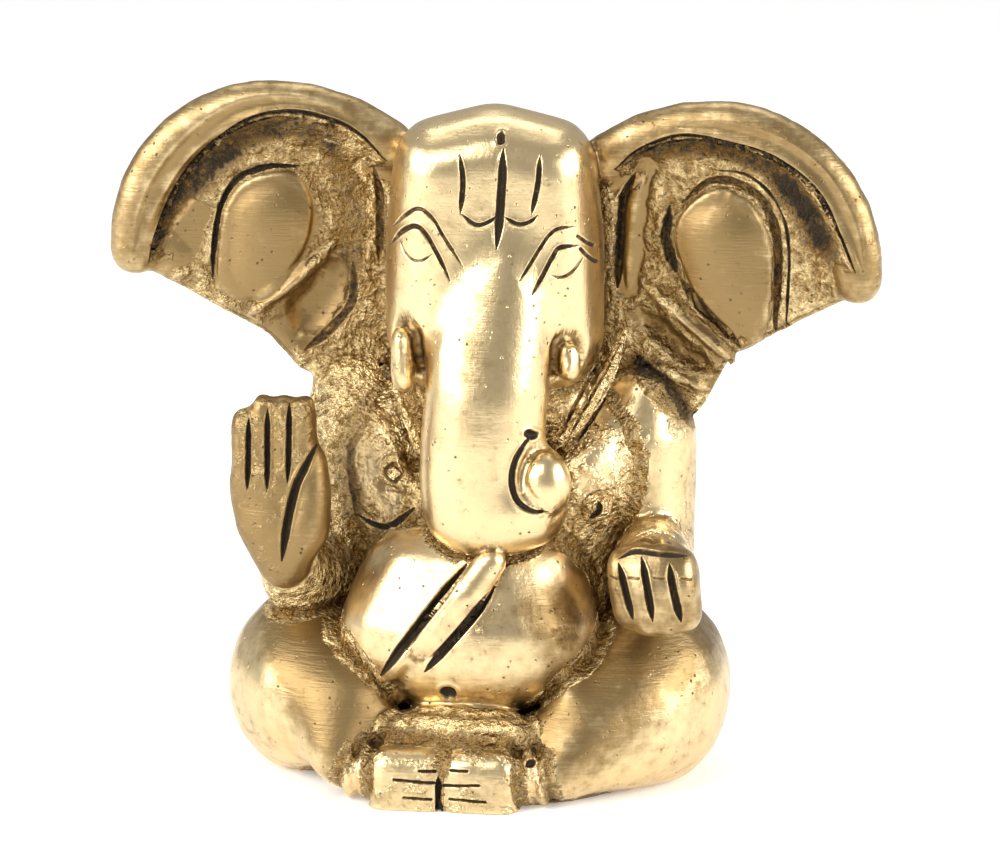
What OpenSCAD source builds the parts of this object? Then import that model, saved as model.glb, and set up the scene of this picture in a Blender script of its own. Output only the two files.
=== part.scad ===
// Seated elephant-headed figurine in solid cast brass, about 64 mm across the ears.
// +X is the figure's own left, the face looks along -Y, and the flat underside is z = 0.
// Left and right are the figure's own. Every sculpted member is a closed solid, and where two
// members meet, the one behind is cut to the surface of the one in front, so that they touch.

/* [Body] */
// Width of the chest across the shoulders
torso_w = 27.4; // [22:0.2:34]
// Depth of the chest, front to back
torso_d = 17; // [14:0.5:21]
// Height of the shoulders above the table
shoulder_h = 33; // [28:0.5:40]
// Width of the belly
belly_w = 22.2; // [18:0.2:27]
// Height of the belly
belly_h = 16.4; // [13:0.2:19]
// How far the belly stands out in front of the chest
belly_out = 6.6; // [5:0.2:8]
// How far the lower body sits towards the figure's right
body_shift = 1.2; // [0:0.1:2]

/* [Head] */
// Width of the head at the temples
head_w = 18.2; // [14:0.2:22]
// Depth of the head, forehead to nape
head_d = 17; // [14:0.5:20]
// Height of the head, jaw to flat crown
head_h = 24.8; // [21:0.5:30]
// Turn of the face towards the figure's left, degrees
head_turn = 7; // [0:1:12]
// Width of a tusk stub
tusk_w = 2.3; // [1.8:0.1:2.9]
// Height of the right tusk stub
tusk_h = 5.6; // [4.4:0.2:6.8]

/* [Trunk] */
// Width of the trunk where it leaves the face
trunk_root_w = 10.8; // [9:0.2:14]
// Width of the trunk above its curl
trunk_w = 10.4; // [8:0.2:11.6]
// Length of the trunk below the jaw
trunk_l = 13.4; // [11:0.2:16]
// Height of the round tip inside the curl
tip_h = 5.2; // [4.2:0.2:6.4]

/* [Ears] */
// Radius of an ear's round outer edge
ear_r = 13.4; // [11:0.1:16.4]
// Radius of the flatter stretch between an ear's top and the head
ear_top_r = 18; // [16.5:0.1:22]
// Thickness of an ear
ear_t = 2.6; // [2:0.1:3.2]
// Width of the rolled rim
rim_w = 3.6; // [3:0.1:4.3]
// Forward flare of the ears, degrees
ear_flare = 5; // [0:1:10]
// How much lower the left ear is set
left_ear_drop = 0.6; // [0:0.1:1.2]
// How much further the left ear's lower corner hangs
left_ear_tail = 2.4; // [0:0.1:4]
// Width of the raised lobe inside an ear
lobe_w = 7.8; // [6.4:0.2:9.4]

/* [Arms] */
// Thickness of an upper arm
arm_w = 7; // [5.6:0.2:8.4]
// Width of the raised palm
palm_w = 8.2; // [6.8:0.2:9.8]
// Length of the raised hand, wrist to fingertips
hand_l = 16.4; // [14:0.2:19]
// Thickness of the raised hand
hand_t = 4.2; // [3.6:0.2:5]
// Width of the resting hand
fist_w = 7.6; // [6.4:0.2:9]
// Height of the resting hand
fist_h = 7; // [6:0.2:8.4]

/* [Legs] */
// Distance from the body's middle to the outside of a knee
knee_reach = 21; // [18:0.5:25]
// Height of a folded leg at the knee
leg_h = 15.6; // [12.6:0.2:18]
// Depth of the figure, toes to the back of the hips
figure_d = 29.4; // [26:0.2:34]
// Width of one foot
foot_w = 6; // [5:0.1:7.2]
// Height of the feet
foot_h = 4.8; // [4:0.1:5.8]
// Depth of the feet, front to back
foot_d = 5.4; // [4.6:0.1:6.4]
// Width of an anklet
anklet_w = 3; // [2.4:0.1:3.6]
// Width of the sash band across the belly
sash_w = 2.8; // [2.2:0.1:3.4]

/* [Hidden] */

polished = [0.79, 0.62, 0.30];
as_cast = [0.66, 0.47, 0.17];
fine = 16; // sides of a large form
small = 13; // sides of a small form
over = 1; // how far a cutter runs past what it cuts

mid_x = -body_shift; // middle of the lower body
toe_y = -16;
hip_y = toe_y + figure_d;
axis_y = -(toe_y + hip_y) / 2; // the body's upright axis stands this far behind the base's middle
chest_y = -torso_d * 0.4; // front of the chest
back_y = chest_y + torso_d;
belly_y = chest_y - belly_out; // front of the belly
belly_z = 6.2 + belly_h / 2;

head_base = shoulder_h - 1;
head_top = head_base + head_h;
face_y = -head_d * 0.48;
head_x = head_w / 2;

trunk_end = shoulder_h - trunk_l;
trunk_r = trunk_w / 2;
trunk_y = face_y - 4.6; // front of the trunk
tip_x = 5.8;
tip_z = trunk_end + 7.1;

ear_y = 1.9; // middle of the ear plate at the head
ear_x = ear_r * 0.73; // middle of the round edge, outwards from the head
ear_end = 90 + asin(ear_x / (ear_top_r - rim_w / 2)); // angle where the edge reaches the head
lap_h = 5.6;
lap_rx = 14;
lap_ry = 12;

palm_x = mid_x - knee_reach + 5.2;
hand_y = -8.4;
hand_z = 16.6; // underside of the raised hand
finger_gap = palm_w * 0.2;
finger_z = hand_z + hand_l * 0.62;

fist_x = mid_x + knee_reach - 5.2;
fist_y = -9.6;
fist_z = 18.2;
knuckle_gap = fist_w * 0.225;

thigh_in = belly_w * 0.31; // inner side of a thigh, under the belly's edge
knee_y = -2;
ankle_y = -12;
leg_sink = 0.6; // how far the knees' round underside would sink below the table
foot_mid = mid_x - 0.8;
feet_edge = foot_w + 0.1;

function elbow_x(s) = s > 0 ? 13.2 : -14.6;

function ear_z(s) = head_top - ear_r + 0.7 - (s > 0 ? left_ear_drop : 0);

// A point inside an ear's edge: a round outer arc, then a flatter one from the top to the head.
function ear_edge(a, inset) =
  a > 90
  ? [ear_x + (ear_top_r - inset) * cos(a), 0, ear_r - ear_top_r + (ear_top_r - inset) * sin(a)]
  : [ear_x + (ear_r - inset) * cos(a), 0, (ear_r - inset) * sin(a)];

// A bead of a leg, from its inner to its outer side.
function leg_bead(s, inner, outer, y, z, half_d, half_h) =
  [[mid_x + s * (inner + outer) / 2, y, z], [(outer - inner) / 2, half_d, half_h]];

// An ellipsoid at p with half-sizes r.
module bead(p, r, sides = fine) {
  translate(p)
    scale(r)
      sphere(r = 1, $fn = sides);
}

// A smooth limb through a list of [place, half-sizes] beads.
module limb(beads, sides = fine) {
  for (i = [1 : len(beads) - 1])
    hull() {
      bead(beads[i - 1][0], beads[i - 1][1], sides);
      bead(beads[i][0], beads[i][1], sides);
    }
}

// A lone ellipsoid, faceted in the same way as a limb.
module pebble(p, r, sides = small) {
  hull()
    bead(p, r, sides);
}

// The forms are drawn about the body's upright axis and set on the middle of the base here.
module on_axis() {
  translate([0, axis_y, 0])
    children();
}

// Everything above the table.
module above_table() {
  translate([-50, -50, 0])
    cube([100, 100, 80]);
}

// Turns the face about the neck.
module face_turn() {
  rotate([0, 0, head_turn])
    children();
}

// An ear's own frame: x runs outwards from the head, y is depth, z = 0 at the middle of its arc.
module ear_place(s) {
  translate([s * head_x, ear_y, ear_z(s)])
    rotate([0, 0, -s * ear_flare])
      mirror([s < 0 ? 1 : 0, 0, 0])
        children();
}

/* forms before they are cut to each other */

module lap_form()
  on_axis() {
  linear_extrude(height = lap_h)
    polygon([for (a = [0 : 12 : 348]) [mid_x + lap_rx * cos(a), -1 + lap_ry * sin(a)]]);
}

module torso_form()
  on_axis() {
  hull() {
    bead([mid_x, back_y - torso_d * 0.5 + 0.6, 10], [torso_w * 0.44, torso_d * 0.54, 9.6]);
    bead([mid_x * 0.6, back_y - torso_d * 0.5, 19], [torso_w * 0.4, torso_d * 0.48, 8]);
  }
  hull() {
    bead([mid_x * 0.6, back_y - torso_d * 0.5, 19], [torso_w * 0.4, torso_d * 0.48, 8]);
    for (s = [-1, 1])
      bead([s * torso_w * 0.22, back_y - torso_d * 0.5, shoulder_h - 6.6], [torso_w * 0.28, torso_d * 0.46, 6.2]);
  }
  hull() {
    bead([0, 1.4, shoulder_h - 5], [9.4, torso_d * 0.42, 5]);
    bead([0, 1.2, shoulder_h + 2.5], [7.6, 6, 3.4]);
  }
}

module belly_form()
  on_axis() {
  hull() {
    bead([mid_x - 1.6, belly_y + 7.6, belly_z - 1.6], [belly_w * 0.43, 7.3, belly_h * 0.41]);
    bead([mid_x + 1.4, belly_y + 7.4, belly_z - 1.4], [belly_w * 0.43, 7.4, belly_h * 0.42]);
    bead([mid_x, belly_y + 8.6, belly_z + 2], [belly_w * 0.44, 7.2, belly_h * 0.4]);
  }
}

module sash_form()
  on_axis() {
  limb([
    [[1.4, belly_y + 1.9, belly_z + 5.9], [sash_w * 0.5, 1.2, 1.2]],
    [[-0.6, belly_y + 1.0, belly_z + 3], [sash_w * 0.56, 1.3, 1.3]],
    [[-3, belly_y + 1.2, belly_z - 0.4], [sash_w * 0.6, 1.3, 1.4]],
    [[-5.4, belly_y + 2.6, belly_z - 3.6], [sash_w * 0.6, 1.3, 1.4]],
    [[-6.9, belly_y + 4, belly_z - 5.8], [sash_w * 0.6, 1.2, 1.3]],
  ], small);
}

module chest_ring_form(s)
  on_axis() {
  pebble([s > 0 ? 9.3 : -7.6, s > 0 ? -4.9 : -5.5, shoulder_h - (s > 0 ? 9.3 : 6.6)], [1.25, 1.3, 1.25]);
}

module scarf_form()
  on_axis() {
  limb([
    [[11.2, -1.6, shoulder_h + 5], [1.3, 2, 1.6]],
    [[10, -3.3, shoulder_h + 1.6], [1.8, 2, 1.6]],
    [[7.6, -4.8, shoulder_h - 2.6], [1.9, 2, 1.7]],
    [[3, -5, shoulder_h - 6], [1.8, 1.8, 1.6]],
    [[-2.6, -5.2, shoulder_h - 7.4], [1.8, 1.8, 1.6]],
    [[-5.4, -4.9, shoulder_h - 5.6], [1.7, 1.8, 1.8]],
    [[-7, -4.2, shoulder_h - 2], [1.6, 2, 1.7]],
    [[-8.6, -2.9, shoulder_h + 2], [1.4, 2, 1.6]],
  ], small);
}

module head_form()
  on_axis() {
  face_turn() {
    // forehead, with the flat crown above it
    hull()
      for (s = [-1, 1]) {
        bead([s * head_w * 0.25, face_y + 5.6, head_top - 5], [head_w * 0.21, 5.4, 3.9]);
        bead([s * head_w * 0.26, face_y + 6.6, head_base + 12], [head_w * 0.24, 6.6, 6]);
        bead([0, face_y + 5.6, head_top - 4.4], [head_w * 0.3, 5.4, 4.4]);
      }
    // jaw
    hull()
      for (s = [-1, 1]) {
        bead([s * head_w * 0.26, face_y + 6.6, head_base + 12], [head_w * 0.24, 6.6, 6]);
        bead([s * head_w * 0.25, face_y + 6.8, head_base + 5.6], [head_w * 0.25, 6.2, 5]);
      }
    // nape
    hull() {
      bead([0, face_y + head_d * 0.62, head_base + 9], [head_w * 0.4, head_d * 0.36, 8]);
      bead([0, face_y + head_d * 0.62, head_top - 8], [head_w * 0.42, head_d * 0.38, 6]);
    }
  }
}

module head_cap_form()
  on_axis() {
  face_turn()
    hull() {
      bead([0, face_y + head_d * 0.68, head_top - 6.4], [head_w * 0.38, head_d * 0.32, 4.8]);
      bead([0, face_y + head_d * 0.74, head_base + 12], [head_w * 0.34, head_d * 0.32, 5]);
    }
}

module tusk_form(s)
  on_axis() {
  tall = s > 0 ? tusk_h * 0.66 : tusk_h;
  face_turn()
    hull() {
      bead([s * 6.8 - 0.6, face_y + 1.4, head_base + 4.2 + tall * 0.24], [tusk_w * 0.46, 1.5, tall * 0.3], small);
      bead([s * 6.7 - 0.6, face_y + 1.2, head_base + 4.2 - tall * 0.2], [tusk_w * 0.5, 1.6, tall * 0.3], small);
    }
}

module trunk_form()
  on_axis() {
  root_r = trunk_root_w / 2;
  limb([
    [[1.3, face_y + 4.4, head_base + 15.6], [root_r * 0.8, 4, 3.4]],
    [[1.3, face_y + 2.9, head_base + 10.6], [root_r * 0.9, 4.2, 3.6]],
    [[0.6, face_y + 1.4, head_base + 5.8], [root_r, 4.3, 3.6]],
    [[0.5, face_y + 0.1, head_base + 1.4], [root_r * 0.95, 4.3, 3.4]],
    [[0.2, trunk_y + 4.3, trunk_end + 9.8], [trunk_r, 4.3, 3.2]],
    [[0.1, trunk_y + 4.2, trunk_end + 7], [trunk_r, 4.2, 3.2]],
    [[0.4, trunk_y + 4.1, trunk_end + 4.6], [trunk_r, 4.1, 4.5]],
    [[tip_x - 2, trunk_y + 4.1, trunk_end + 4.6], [trunk_r * 0.68, 3.7, 3.4]],
    [[tip_x - 0.6, trunk_y + 4.2, tip_z - 0.6], [2.3, 3.3, 3.4]],
  ]);
}

module tip_form()
  on_axis() {
  hull() {
    bead([tip_x, trunk_y + 2.2, tip_z], [1.9, 1.8, tip_h / 2], small);
    bead([tip_x - 0.1, trunk_y + 3.6, tip_z], [1.7, 1.6, tip_h * 0.42], small);
  }
}

module ear_form(s)
  on_axis() {
  tail = s > 0 ? left_ear_tail : 0;
  edge = [1.2, ear_t / 2, 1.2];
  ear_place(s) {
    hull() {
      for (a = [-2 : (ear_end + 2) / 9 : ear_end + 0.1])
        bead(ear_edge(a, 1.2), edge, small);
      bead([ear_x + 0.6, 0.2, -ear_r * 0.5], edge, small);
      bead([0, 0.4, -ear_r * 0.7], edge, small);
    }
    hull() {
      bead([ear_x, 0.2, -ear_r * 0.52], edge, small);
      bead([ear_r * 0.52, 0.6, shoulder_h + 0.8 - tail - ear_z(s)], edge, small);
      bead([0, 0.4, shoulder_h + 1.9 - tail * 0.6 - ear_z(s)], edge, small);
      bead([0, 0.4, 0], edge, small);
    }
  }
}

module ear_rim_form(s)
  on_axis() {
  ear_place(s)
    translate([0, -ear_t * 0.36, 0])
      limb([for (a = [-4 : (ear_end + 4) / 10 : ear_end + 0.1]) [ear_edge(a, rim_w / 2), [rim_w / 2, 1.35, rim_w / 2]]], small);
}

module ear_lobe_form(s)
  on_axis() {
  ear_place(s)
    hull() {
      bead([ear_x, -0.5, 2], [lobe_w / 2, 1.7, 3.6], small + 2);
      bead([ear_x + 0.5, -0.4, -1.6], [lobe_w * 0.46, 1.6, 3.8], small + 2);
      bead([ear_x + (s > 0 ? 1.4 : -0.7), 0.2, s > 0 ? -6 : -4], [lobe_w * 0.26, 1.2, 1.6], small);
    }
}

module upper_arm_form(s)
  on_axis() {
  r = arm_w / 2;
  limb([
    [[s * 12, 2.4, shoulder_h - 1.8], [r + 0.4, 4, 3.6]],
    [[s * 11.6, 2, shoulder_h - 5.2], [r + 1.6, 5, 4.6]],
    [[s * 12.6, 2, shoulder_h - 9], [r + 0.5, 4.8, 4]],
    [[s * 13, 1.6, shoulder_h - 13], [r, 4.4, 4]],
    [[elbow_x(s), 0.4, shoulder_h - 17], [r, 4.2, 4]],
  ]);
}

module right_forearm_form()
  on_axis() {
  limb([
    [[elbow_x(-1), -0.4, 16], [3.4, 3.6, 3.6]],
    [[(palm_x + elbow_x(-1)) / 2 - 0.2, -4.4, 16.6], [3.1, 3, 3.2]],
    [[palm_x + 0.7, -7, hand_z + 2], [2.6, 2.2, 2.4]],
  ]);
}

module right_palm_form()
  on_axis() {
  r = palm_w / 2;
  limb([
    [[palm_x + 0.6, hand_y, hand_z + 2.2], [r * 0.56, hand_t * 0.48, 2.2]],
    [[palm_x - 0.1, hand_y - 0.1, hand_z + 5.6], [r * 0.84, hand_t * 0.52, 3]],
    [[palm_x - 0.2, hand_y, finger_z - 1.6], [r * 0.96, hand_t * 0.46, 2.8]],
  ]);
}

module right_thumb_form()
  on_axis() {
  limb([
    [[palm_x + 1.3, hand_y - 0.6, hand_z + 2.6], [1.3, 1.6, 1.8]],
    [[palm_x + 2.6, hand_y - 0.7, hand_z + 5.6], [2, 2, 2.6]],
    [[palm_x + 3, hand_y - 0.5, hand_z + 8.4], [1.7, 1.8, 2]],
    [[palm_x + 3.3, hand_y - 0.3, hand_z + 11], [1, 1.2, 1.2]],
  ], small);
}

// Three of the four fingers stand straight; the outer one is shorter.
module right_fingers_form()
  on_axis() {
  for (i = [-1.5 : 1 : 1.5]) {
    tip = hand_z + hand_l - 1.1 - (i < -1 ? 1.3 : 0);
    x = palm_x - 0.2 + i * finger_gap;
    limb([
      [[x, hand_y, finger_z - 1], [finger_gap * 0.56, 1.7, 1.6]],
      [[x + i * 0.06, hand_y - 0.1, finger_z + 2.2], [finger_gap * 0.55, 1.6, 1.5]],
      [[x + i * 0.1, hand_y - 0.2, tip], [finger_gap * 0.5, 1.3, 1.1]],
    ], small);
  }
}

module left_forearm_form()
  on_axis() {
  limb([
    [[elbow_x(1), -0.6, 17.6], [3.2, 3.6, 3.8]],
    [[(fist_x + elbow_x(1)) / 2, -4, 19.4], [3.1, 3, 3.2]],
    [[fist_x - 0.2, -7.4, fist_z + 2], [2.9, 2.4, 2.5]],
  ]);
}

module left_fist_form()
  on_axis() {
  hull() {
    bead([fist_x, fist_y + 1, fist_z + 1.2], [fist_w * 0.48, 2.5, fist_h * 0.34]);
    bead([fist_x, fist_y + 1, fist_z - 0.6], [fist_w * 0.44, 2.3, fist_h * 0.36]);
  }
}

module left_fingers_form()
  on_axis() {
  for (i = [-1.5 : 1 : 1.5]) {
    x = fist_x + i * knuckle_gap;
    side = abs(i) > 1 ? 0.5 : 0;
    limb([
      [[x, fist_y - 0.5, fist_z + fist_h * 0.36 - side], [knuckle_gap * 0.56, 1.5, 1.2]],
      [[x + 0.2, fist_y - 1.4 + side, fist_z + 0.4], [knuckle_gap * 0.58, 1.6, 1.6]],
      [[x + 0.5, fist_y - 0.9 + side, fist_z - fist_h * 0.36 + side], [knuckle_gap * 0.54, 1.5, 1.3]],
    ], small);
  }
}

module leg_form(s)
  on_axis() {
  lift = s > 0 ? 0.3 : 1.8; // the shins clear the table a little, the right one more
  limb([
    leg_bead(s, 2, knee_reach - 4.2, hip_y - 6.3, 6.6, 6.4, 7),
    leg_bead(s, thigh_in, knee_reach - 0.2, 2.4, leg_h * 0.5 - leg_sink, 7, leg_h * 0.5),
    leg_bead(s, thigh_in + 0.8, knee_reach + 0.1, knee_y - 0.6, leg_h * 0.5 - leg_sink, 6.6, leg_h * 0.5),
    leg_bead(s, thigh_in + 0.2, knee_reach - 2, knee_y - 4.2, 6.1 + lift * 0.6, 5.4, 6.2),
    leg_bead(s, thigh_in - 1.3, knee_reach - 6.2, ankle_y + 2.4, 4.8 + lift, 4, 4.5),
    [[foot_mid + s * (feet_edge + anklet_w * 1.1), ankle_y, 3 + lift * 0.4], [2.3, 2.9, 2.7]],
  ]);
}

module anklet_form(s)
  on_axis() {
  x = foot_mid + s * (feet_edge + anklet_w * 0.46);
  for (i = [-1, 1])
    hull() {
      bead([x + i * anklet_w * 0.22, ankle_y - 0.4, 2.5], [anklet_w * 0.31, 2.8, 2.5], small);
      bead([x + i * anklet_w * 0.22, ankle_y + 1.2, 2.4], [anklet_w * 0.31, 2.6, 2.4], small);
    }
}

module foot_form(s)
  on_axis() {
  x = foot_mid + s * feet_edge / 2;
  hull()
    for (i = [-1, 1])
      for (j = [-1, 1]) {
        bead([x + i * (foot_w / 2 - 1.4), toe_y + 1.5 + (j + 1) / 2 * (foot_d - 3), foot_h - 1.6], [1.4, 1.5, 1.6], small);
        bead([x + i * (foot_w / 2 - 1.2), toe_y + 1.4 + (j + 1) / 2 * (foot_d - 3), 0.8], [1.2, 1.4, 1.2], small);
      }
}

/* the members, each cut to the ones in front of it */

module lap() {
  color(as_cast)
    lap_form();
}

module torso() {
  color(as_cast)
    difference() {
      intersection() {
        torso_form();
        above_table();
      }
      lap_form();
      belly_form();
      sash_form();
      scarf_form();
      head_form();
      trunk_form();
      for (s = [-1, 1]) {
        chest_ring_form(s);
        upper_arm_form(s);
        leg_form(s);
        ear_form(s);
      }
      right_forearm_form();
      left_forearm_form();
    }
}

module belly() {
  color(polished)
    difference() {
      belly_form();
      lap_form();
      sash_form();
      trunk_form();
      for (s = [-1, 1])
        leg_form(s);
      right_forearm_form();
      left_forearm_form();
      left_fist_form();
    }
}

module sash() {
  color(polished)
    difference() {
      sash_form();
      lap_form();
      trunk_form();
      leg_form(-1);
    }
}

module right_chest_ring() {
  color(polished)
    chest_ring_form(-1);
}

module left_chest_ring() {
  color(polished)
    chest_ring_form(1);
}

module neck_scarf() {
  color(as_cast)
    difference() {
      scarf_form();
      head_form();
      trunk_form();
      chest_ring_form(-1);
    }
}

module head() {
  color(polished)
    difference() {
      head_form();
      head_cap_form();
      trunk_form();
      for (s = [-1, 1]) {
        tusk_form(s);
        ear_form(s);
        ear_rim_form(s);
      }
    }
}

module head_cap() {
  color(as_cast)
    difference() {
      head_cap_form();
      trunk_form();
      for (s = [-1, 1])
        ear_form(s);
    }
}

module right_tusk() {
  color(polished)
    tusk_form(-1);
}

module left_tusk() {
  color(polished)
    tusk_form(1);
}

module trunk() {
  color(polished)
    difference() {
      trunk_form();
      tip_form();
      for (s = [-1, 1])
        tusk_form(s);
    }
}

module trunk_tip() {
  color(polished)
    tip_form();
}

module ear(s) {
  color(as_cast)
    difference() {
      ear_form(s);
      ear_rim_form(s);
      ear_lobe_form(s);
      upper_arm_form(s);
      scarf_form();
    }
}

module right_ear() {
  ear(-1);
}

module left_ear() {
  ear(1);
}

module right_ear_rim() {
  color(polished)
    ear_rim_form(-1);
}

module left_ear_rim() {
  color(polished)
    ear_rim_form(1);
}

module right_ear_lobe() {
  color(polished)
    ear_lobe_form(-1);
}

module left_ear_lobe() {
  color(polished)
    ear_lobe_form(1);
}

module right_upper_arm() {
  color(as_cast)
    difference() {
      upper_arm_form(-1);
      right_forearm_form();
      leg_form(-1);
      belly_form();
      scarf_form();
    }
}

module left_upper_arm() {
  color(polished)
    difference() {
      upper_arm_form(1);
      left_forearm_form();
      leg_form(1);
      belly_form();
      scarf_form();
      chest_ring_form(1);
    }
}

module right_forearm() {
  color(as_cast)
    difference() {
      right_forearm_form();
      right_palm_form();
      right_thumb_form();
      leg_form(-1);
    }
}

module left_forearm() {
  color(polished)
    difference() {
      left_forearm_form();
      left_fist_form();
      left_fingers_form();
      leg_form(1);
    }
}

module right_palm() {
  color(polished)
    difference() {
      right_palm_form();
      right_thumb_form();
      right_fingers_form();
      leg_form(-1);
    }
}

module right_thumb() {
  color(polished)
    difference() {
      right_thumb_form();
      right_fingers_form();
      leg_form(-1);
    }
}

module right_fingers() {
  color(polished)
    right_fingers_form();
}

module left_fist() {
  color(polished)
    difference() {
      left_fist_form();
      left_fingers_form();
      leg_form(1);
    }
}

module left_fingers() {
  color(polished)
    difference() {
      left_fingers_form();
      leg_form(1);
    }
}

module leg(s) {
  color(polished)
    difference() {
      intersection() {
        leg_form(s);
        above_table();
      }
      lap_form();
      anklet_form(s);
      foot_form(s);
      leg_side_cut(s);
    }
}

// The thighs meet on a plane through the body's middle.
module leg_side_cut(s) {
  translate([mid_x - (s > 0 ? 40 : 0), -40, -over])
    cube([40, 80, 40]);
}

module right_leg() {
  leg(-1);
}

module left_leg() {
  leg(1);
}

module anklet(s) {
  color(polished)
    difference() {
      intersection() {
        anklet_form(s);
        above_table();
      }
      lap_form();
      foot_form(s);
    }
}

module right_anklet() {
  anklet(-1);
}

module left_anklet() {
  anklet(1);
}

module foot(s) {
  color(polished)
    difference() {
      intersection() {
        foot_form(s);
        above_table();
      }
      lap_form();
    }
}

module right_foot() {
  foot(-1);
}

module left_foot() {
  foot(1);
}

lap();
torso();
belly();
sash();
right_chest_ring();
left_chest_ring();
neck_scarf();
head();
head_cap();
right_tusk();
left_tusk();
trunk();
trunk_tip();
right_ear();
right_ear_rim();
right_ear_lobe();
left_ear();
left_ear_rim();
left_ear_lobe();
right_upper_arm();
right_forearm();
right_palm();
right_thumb();
right_fingers();
left_upper_arm();
left_forearm();
left_fist();
left_fingers();
right_leg();
left_leg();
right_anklet();
left_anklet();
right_foot();
left_foot();
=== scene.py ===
import math

import bpy
import numpy as np
from mathutils import Matrix, Vector
from mathutils.bvhtree import BVHTree


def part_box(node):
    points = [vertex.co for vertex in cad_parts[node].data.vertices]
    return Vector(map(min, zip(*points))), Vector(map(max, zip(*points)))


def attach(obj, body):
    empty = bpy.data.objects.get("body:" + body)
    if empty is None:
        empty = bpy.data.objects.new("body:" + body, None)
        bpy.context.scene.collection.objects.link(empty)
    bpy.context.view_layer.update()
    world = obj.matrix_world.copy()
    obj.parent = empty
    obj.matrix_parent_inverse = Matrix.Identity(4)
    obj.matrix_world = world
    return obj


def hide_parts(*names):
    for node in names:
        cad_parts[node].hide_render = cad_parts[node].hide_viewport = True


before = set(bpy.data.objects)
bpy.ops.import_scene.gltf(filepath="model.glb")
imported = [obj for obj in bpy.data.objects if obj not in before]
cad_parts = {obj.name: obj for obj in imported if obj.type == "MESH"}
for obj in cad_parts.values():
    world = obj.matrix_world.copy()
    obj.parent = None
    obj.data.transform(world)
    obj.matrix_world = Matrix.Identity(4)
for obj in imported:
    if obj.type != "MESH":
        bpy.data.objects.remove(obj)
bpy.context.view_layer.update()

# The statuette is worked as a founder works it: one wax skin over all the members, chased with
# a chisel, cast, dirtied and polished, with painted shade in its hollows, and then parted along
# the members again.
# All the sculpting is in millimetres, and the finished pieces go back to metres.
mm = 1000.0
names = sorted(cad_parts)
index = {name: i for i, name in enumerate(names)}


def centreOf(node):
    low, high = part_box(node)
    return np.array((low + high) / 2) * mm


def only(obj):
    bpy.ops.object.select_all(action="DESELECT")
    obj.select_set(True)
    bpy.context.view_layer.objects.active = obj


def applied(obj, kind, **settings):
    only(obj)
    mod = obj.modifiers.new(kind.lower(), kind)
    for key, value in settings.items():
        setattr(mod, key, value)
    bpy.ops.object.modifier_apply(modifier=mod.name)


def readNumbers(items, field, width=1):
    out = np.empty(len(items) * width, np.float32)
    items.foreach_get(field, out)
    return out.reshape(-1, width).astype(float) if width > 1 else out.astype(float)


def pointsOf(obj):
    return readNumbers(obj.data.vertices, "co", 3)


def normalsOf(obj):
    return readNumbers(obj.data.vertex_normals, "vector", 3)


def edgesOf(obj):
    return readNumbers(obj.data.edges, "vertices", 2).astype(int)


def movePoints(obj, points):
    obj.data.vertices.foreach_set("co", points.astype(np.float32).ravel())
    obj.data.update()


def paint(obj, name, values, kind="FLOAT"):
    layer = obj.data.attributes.get(name) or obj.data.attributes.new(name, kind, "POINT")
    field = "vector" if kind == "FLOAT_VECTOR" else "value"
    layer.data.foreach_set(field, values.astype(np.float32).ravel())


def painted(obj, name, width=1):
    return readNumbers(obj.data.attributes[name].data, "vector" if width == 3 else "value", width)


weightSteps = 20  # the weights of a vertex group are rounded to this many steps


def group(obj, name, values):
    layer = obj.vertex_groups.get(name) or obj.vertex_groups.new(name=name)
    steps = np.clip(np.round(values * weightSteps), 0, weightSteps).astype(int)
    for step in np.unique(steps):
        layer.add(np.nonzero(steps == step)[0].tolist(), float(step) / weightSteps, "REPLACE")


def ease(value, low, high):
    t = np.clip((value - low) / (high - low), 0, 1)
    return t * t * (3 - 2 * t)


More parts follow.
